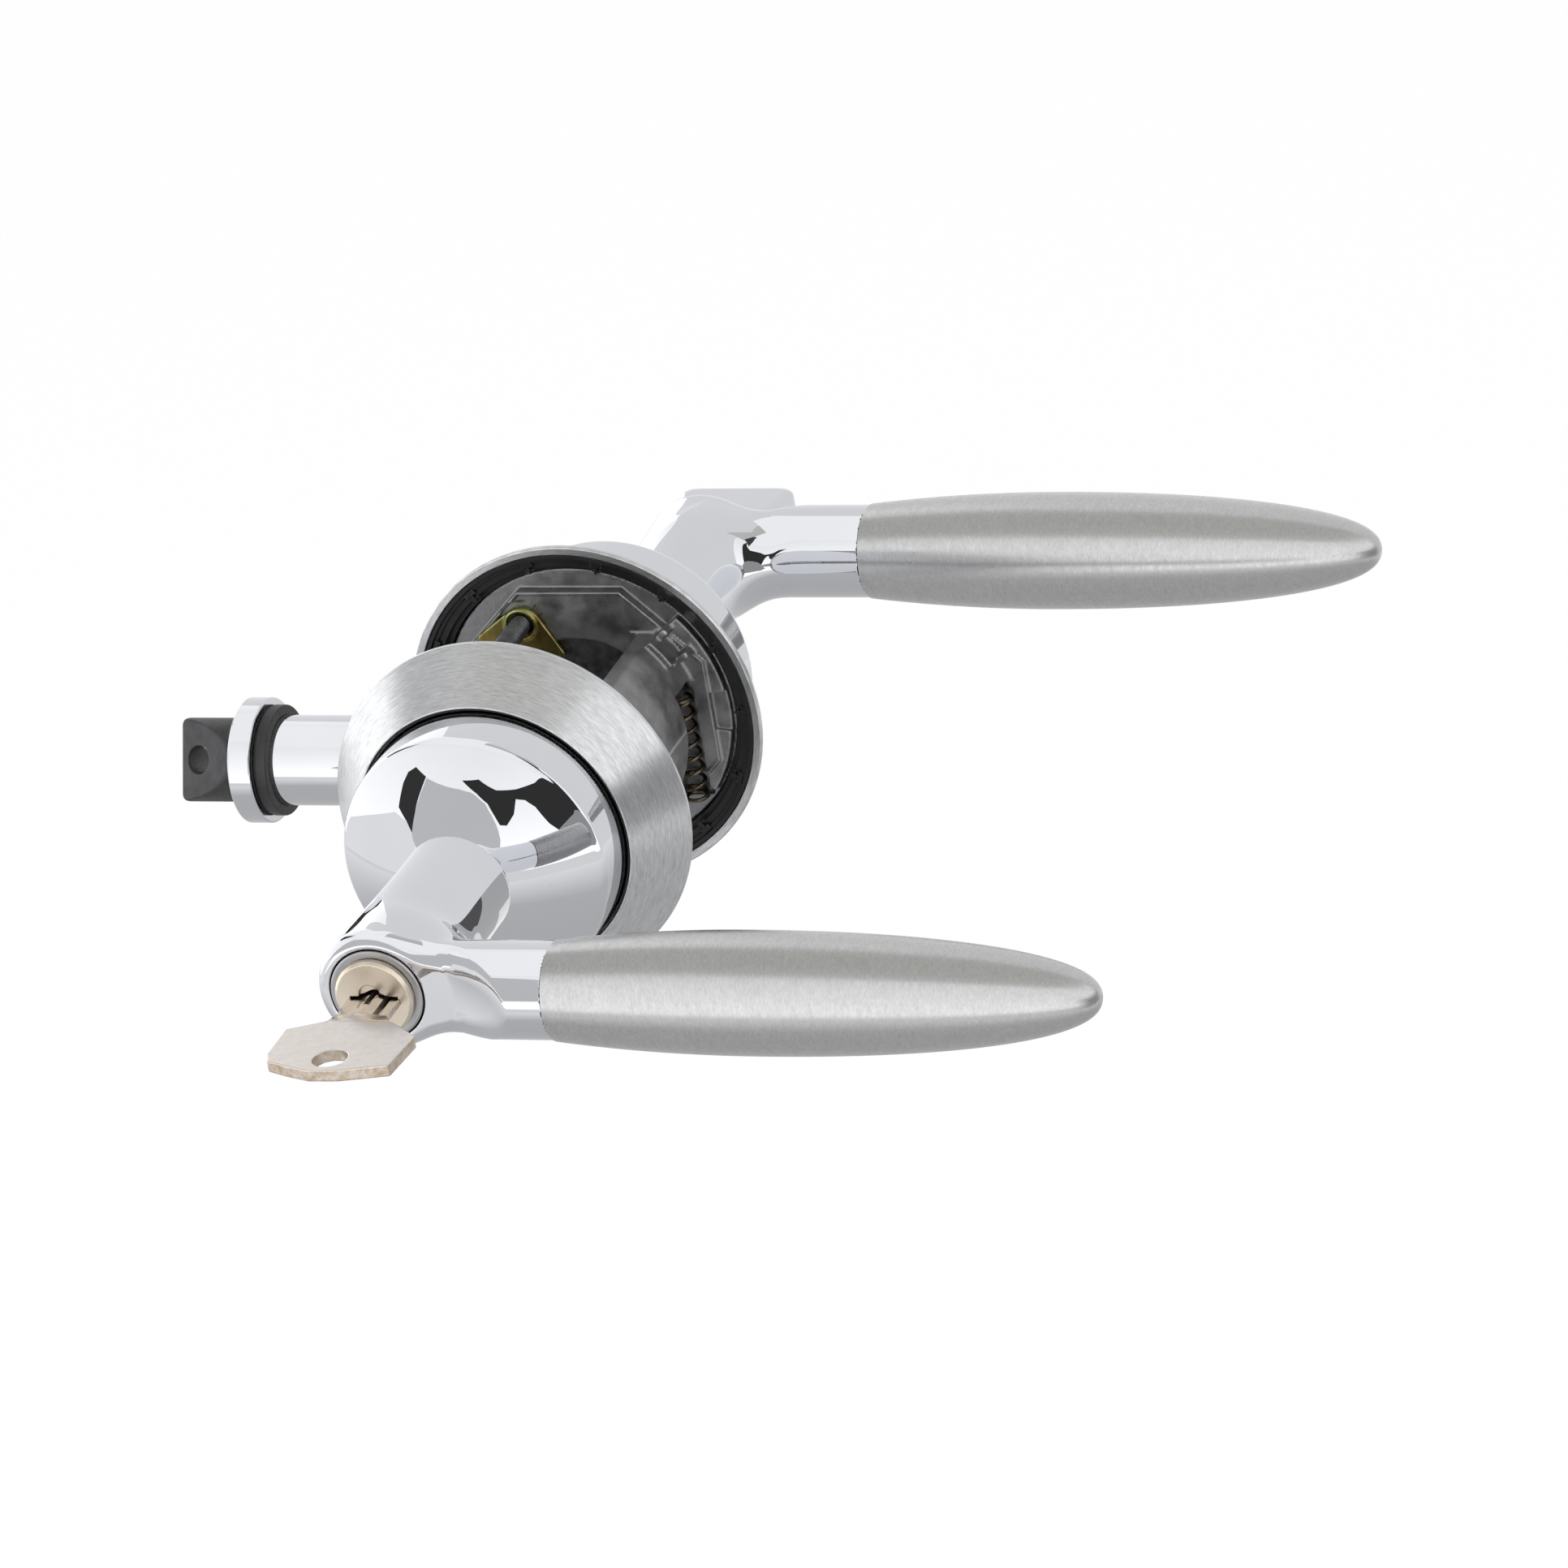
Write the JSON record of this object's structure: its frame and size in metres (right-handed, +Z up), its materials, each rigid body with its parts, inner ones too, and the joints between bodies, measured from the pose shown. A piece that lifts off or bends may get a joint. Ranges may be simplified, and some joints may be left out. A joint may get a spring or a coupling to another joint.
{
  "type": "door lever handle",
  "caption": "Pair of door lever handles on round roses, with a key cylinder outside, a thumb turn inside and a drive-in tubular latch.",
  "frame": {"origin": "crossing of the spindle axis and the latch axis, halfway through the door", "axes": "+X along the grips, away from the latch; +Y along the spindle, towards the inside; +Z up"},
  "size_m": [0.2003, 0.2231, 0.066],
  "materials": {
    "brushed_rose": "satin, brushed round",
    "brushed_grip": "satin, brushed round",
    "polished_chrome": "mirror polished",
    "black_plastic": "moulded",
    "black_rubber": "matt",
    "die_cast_zinc": "as cast zinc alloy",
    "yellow_plating": "yellow passivated steel",
    "dark_steel": "oiled",
    "bright_steel": "turned",
    "bronzed_spring": "tempered wire",
    "cylinder_grey": "turned",
    "nickel_silver": "lightly worn nickel",
    "brass": "stamped",
    "graphite_bolt": "graphite coated"
  },
  "bodies": {
    "root": {"outside_rose": "brushed_rose", "inside_rose": "brushed_rose", "outside_bush_ring": "black_plastic", "inside_bush_ring": "black_plastic", "outside_carrier_ring": "black_plastic", "inside_carrier_ring": "black_plastic", "outside_plate": "die_cast_zinc", "inside_plate": "die_cast_zinc", "lug_plates": "yellow_plating", "fixing_screws": "dark_steel", "outside_return_spring": "bronzed_spring", "inside_return_spring": "bronzed_spring", "latch_tube": "polished_chrome", "latch_collar": "polished_chrome", "latch_grip_ring": "black_rubber", "tube_cap": "die_cast_zinc", "bolt_spring": "bright_steel"},
    "outside_lever": {"outside_lever": "polished_chrome", "outside_grip": "brushed_grip", "outside_grip_stud": "dark_steel", "outside_set_screw": "dark_steel", "outside_dome_plate": "bright_steel", "outside_driver": "bright_steel", "outside_circlip": "dark_steel", "cylinder_housing": "cylinder_grey", "spindle": "bright_steel", "latch_cam": "die_cast_zinc"},
    "inside_lever": {"inside_lever": "polished_chrome", "inside_grip": "brushed_grip", "inside_grip_stud": "dark_steel", "inside_set_screw": "dark_steel", "inside_dome_plate": "bright_steel", "inside_driver": "bright_steel", "inside_circlip": "dark_steel", "turn_housing": "cylinder_grey"},
    "key_plug": {"key_plug": "nickel_silver", "plug_clip": "dark_steel", "wafers": "brass", "tailpiece": "bright_steel"},
    "key": {"key": "nickel_silver"},
    "thumb_turn": {"thumb_turn": "polished_chrome", "turn_clip": "dark_steel"},
    "latch_bolt": {"latch_bolt": "graphite_bolt", "bolt_rod": "bright_steel", "retractor": "die_cast_zinc"}
  },
  "joints": [
    {"name": "outside_lever_turn", "type": "hinge", "parent": "root", "child": "outside_lever", "pos_m": [0, 0, 0], "axis": [0, 1, 0], "range_deg": [0, 45], "stiffness_Nm_per_rad": 1.5, "springref_deg": -20.05, "deforming": ["outside_return_spring"]},
    {"name": "inside_lever_turn", "type": "hinge", "parent": "root", "child": "inside_lever", "pos_m": [0, 0, 0], "axis": [0, 1, 0], "range_deg": [0, 45], "stiffness_Nm_per_rad": 1.5, "springref_deg": -20.05, "deforming": ["inside_return_spring"]},
    {"name": "latch_bolt_slide", "type": "slide", "parent": "root", "child": "latch_bolt", "axis": [1, 0, 0], "range_m": [0, 0.01193], "stiffness_N_per_m": 150, "springref_m": -0.01, "deforming": ["bolt_spring"]},
    {"name": "key_turn", "type": "hinge", "parent": "outside_lever", "child": "key_plug", "pos_m": [0, 0, 0], "axis": [0, 1, 0], "range_deg": [0, 90]},
    {"name": "key_withdraw", "type": "slide", "parent": "key_plug", "child": "key", "axis": [0, -1, 0], "range_m": [0, 0.03]},
    {"name": "thumb_turn_turn", "type": "hinge", "parent": "inside_lever", "child": "thumb_turn", "pos_m": [0, 0, 0], "axis": [0, 1, 0], "range_deg": [0, 90]}
  ],
  "couplings": [
    {"joint": "inside_lever_turn", "follows": "outside_lever_turn", "ratio": 1},
    {"joint": "latch_bolt_slide", "follows": "outside_lever_turn", "m_per_rad": 0.014812},
    {"joint": "thumb_turn_turn", "follows": "key_turn", "ratio": 1}
  ]
}
